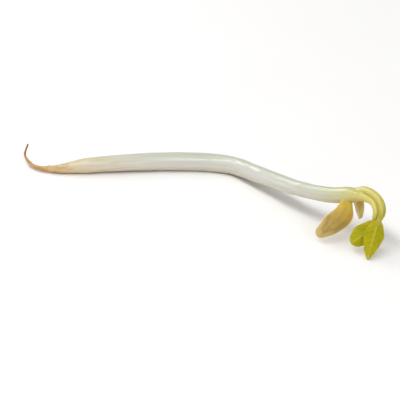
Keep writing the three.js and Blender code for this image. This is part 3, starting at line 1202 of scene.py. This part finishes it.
def hair_tree():
    """A tree that stands thin, leaning cones on a skin."""
    tree, given = start_tree(
        "Grow fine hairs",
        Count_per_area="Float",
        First="Float",
        Length="Float",
        Radius="Float",
        Lean="Float",
        Seed="Int",
        Skin="Material",
    )
    scatter = {
        "Mesh": given["Geometry"],
        "Selection": further_down(tree, given["First"]),
        "Density": given["Count per area"],
        "Seed": given["Seed"],
    }
    feet = add(tree, "GeometryNodeDistributePointsOnFaces", scatter)
    cone = {
        "Vertices": 4,
        "Side Segments": 2,
        "Radius Top": 0.0,
        "Radius Bottom": given["Radius"],
        "Depth": given["Length"],
    }
    cone = add(tree, "GeometryNodeMeshCone", cone)
    sunk = add(tree, "ShaderNodeMath", {0: given["Length"], 1: SUNK_SHARE}, operation="MULTIPLY")
    sunk = add(tree, "ShaderNodeCombineXYZ", {"Z": sunk})
    cone = add(tree, "GeometryNodeTransform", {"Geometry": cone, "Translation": sunk})
    least = add(tree, "ShaderNodeMath", {0: given["Lean"], 1: -1.0}, operation="MULTIPLY")
    lean = {"Min": least, "Max": given["Lean"], "Seed": given["Seed"]}
    lean = add(tree, "FunctionNodeRandomValue", lean, data_type="FLOAT_VECTOR")
    lean = add(tree, "FunctionNodeEulerToRotation", {"Euler": lean})
    turn = {"Rotation": feet.outputs["Rotation"], "Rotate By": lean}
    turn = add(tree, "FunctionNodeRotateRotation", turn, rotation_space="LOCAL")
    vary = {"Min": SHORTEST_SHARE, "Max": 1.0, "Seed": given["Seed"]}
    vary = add(tree, "FunctionNodeRandomValue", vary, data_type="FLOAT")
    hairs = {"Points": feet.outputs["Points"], "Instance": cone, "Rotation": turn, "Scale": vary}
    hairs = add(tree, "GeometryNodeInstanceOnPoints", hairs)
    return finish_tree(tree, hairs, given["Skin"])


HAIR_TREE = hair_tree()
print("hair tree:", len(HAIR_TREE.nodes), "nodes")

# %% Grow the hairs
BARE_NECK = 2.0
hairy_pieces = (
    ("neck_hairs", neck, "neck_tissue", NODE_AT + BARE_NECK, 2),
    ("long_leaf_hairs", long_leaf, "leaf_blade", LEAF_ROOTING, 3),
    ("short_leaf_hairs", short_leaf, "leaf_blade", LEAF_ROOTING, 3),
)
for seed, (name, skin_piece, slot, first, count_per_mm2) in enumerate(hairy_pieces):
    hairs = new_piece(name, skin_piece.data.copy())
    run_tree(
        hairs,
        HAIR_TREE,
        Count_per_area=count_per_mm2 / MM**2,
        First=first,
        Length=0.25 * MM,
        Radius=0.02 * MM,
        Lean=0.6,
        Seed=seed,
        Skin=FINE_HAIR,
    )
    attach(hairs, "root")

# %% [markdown]
# ## Floor, light and camera
# A pale floor keeps the white stem readable: the floor is the brightest thing, and the stem's shaded
# side and its shadow draw its outline. Moist tissue shows its form by the reflections of the lights,
# so the key light is a long panel that lies along the stem and draws one band of light down it. A
# smaller panel does the same for the stretch that falls towards the head, and a wide, weak one lightens
# the shadows. The camera looks from a little above and from the head's side, through a long lens, so
# near and far parts keep their size.

# %% Floor
scene = bpy.context.scene
# The plain transform keeps a white floor white.
scene.view_settings.view_transform = "Standard"
FLOOR_REACH = 3.0
FLOOR_LEVEL = -0.01 * MM
# Uncoated card: an even matt white with the faintest mottle.
WHITE_CARD = mottled("matt white card", 25 * MM, "#f6f5f3", "#faf9f8", IOR=1.45, Roughness=0.9)
signs = ((-1, -1), (1, -1), (1, 1), (-1, 1))
corners = [(x * FLOOR_REACH, y * FLOOR_REACH, FLOOR_LEVEL) for x, y in signs]
floor_mesh = bpy.data.meshes.new("floor")
floor_mesh.from_pydata(corners, [], [(0, 1, 2, 3)])
floor_mesh.materials.append(WHITE_CARD)
floor = new_piece("floor", floor_mesh)
print(f"floor {2 * FLOOR_REACH:.0f} m wide")

# %% Light
centre = (cad_box[0] + cad_box[1]) / 2


def panel(name, towards, distance, width, depth, power):
    """A light panel that faces the middle of the sprout."""
    light = bpy.data.lights.new(name, "AREA")
    light.shape = "RECTANGLE"
    light.size = width
    light.size_y = depth
    light.energy = power
    lamp = bpy.data.objects.new(name, light)
    scene.collection.objects.link(lamp)
    direction = Vector(towards).normalized()
    lamp.location = centre + direction * distance
    lamp.rotation_euler = direction.to_track_quat("Z", "Y").to_euler()
    print(f"{name}: {width} by {depth} m, {power} W")


panel("key_panel", (-0.25, -0.35, 1.0), distance=0.5, width=0.8, depth=0.14, power=1.8)
panel("fill_panel", (0.8, -0.6, 0.6), distance=0.7, width=0.5, depth=0.5, power=0.8)
panel("rim_panel", (-0.8, 0.3, 0.6), distance=0.6, width=0.4, depth=0.12, power=0.8)
world = bpy.data.worlds.new("studio")
world.use_nodes = True
scene.world = world
surround = world.node_tree.nodes["Background"]
surround.inputs["Color"].default_value = linear("#fbfbfd")
surround.inputs["Strength"].default_value = 0.45

# %% Camera
AZIMUTH = math.radians(26.5)
ELEVATION = math.radians(27)
LENS = 300
SENSOR = 36
FILLED_SHARE = 0.9
towards_camera = Vector(
    (
        math.sin(AZIMUTH) * math.cos(ELEVATION),
        -math.cos(AZIMUTH) * math.cos(ELEVATION),
        math.sin(ELEVATION),
    )
)
to_right = Vector((math.cos(AZIMUTH), math.sin(AZIMUTH), 0))
to_top = towards_camera.cross(to_right)
pieces = (stem, root, neck, near_half, far_half, long_leaf, short_leaf)


def seen_span(direction):
    """The least and most that the pieces' points reach in a direction."""
    reach = [point.co.dot(direction) for piece in pieces for point in piece.data.vertices]
    return min(reach), max(reach)


left, right = seen_span(to_right)
low, high = seen_span(to_top)
look_at = (left + right) / 2 * to_right + (low + high) / 2 * to_top
look_at += centre.dot(towards_camera) * towards_camera
distance = (right - left) / FILLED_SHARE * LENS / SENSOR
camera_data = bpy.data.cameras.new("camera")
camera_data.lens = LENS
camera_data.sensor_width = SENSOR
camera = bpy.data.objects.new("camera", camera_data)
camera.location = look_at + distance * towards_camera
camera.rotation_euler = towards_camera.to_track_quat("Z", "Y").to_euler()
scene.collection.objects.link(camera)
scene.camera = camera
print(f"camera {distance:.2f} m away, {(right - left) / MM:.1f} mm of sprout across the view")
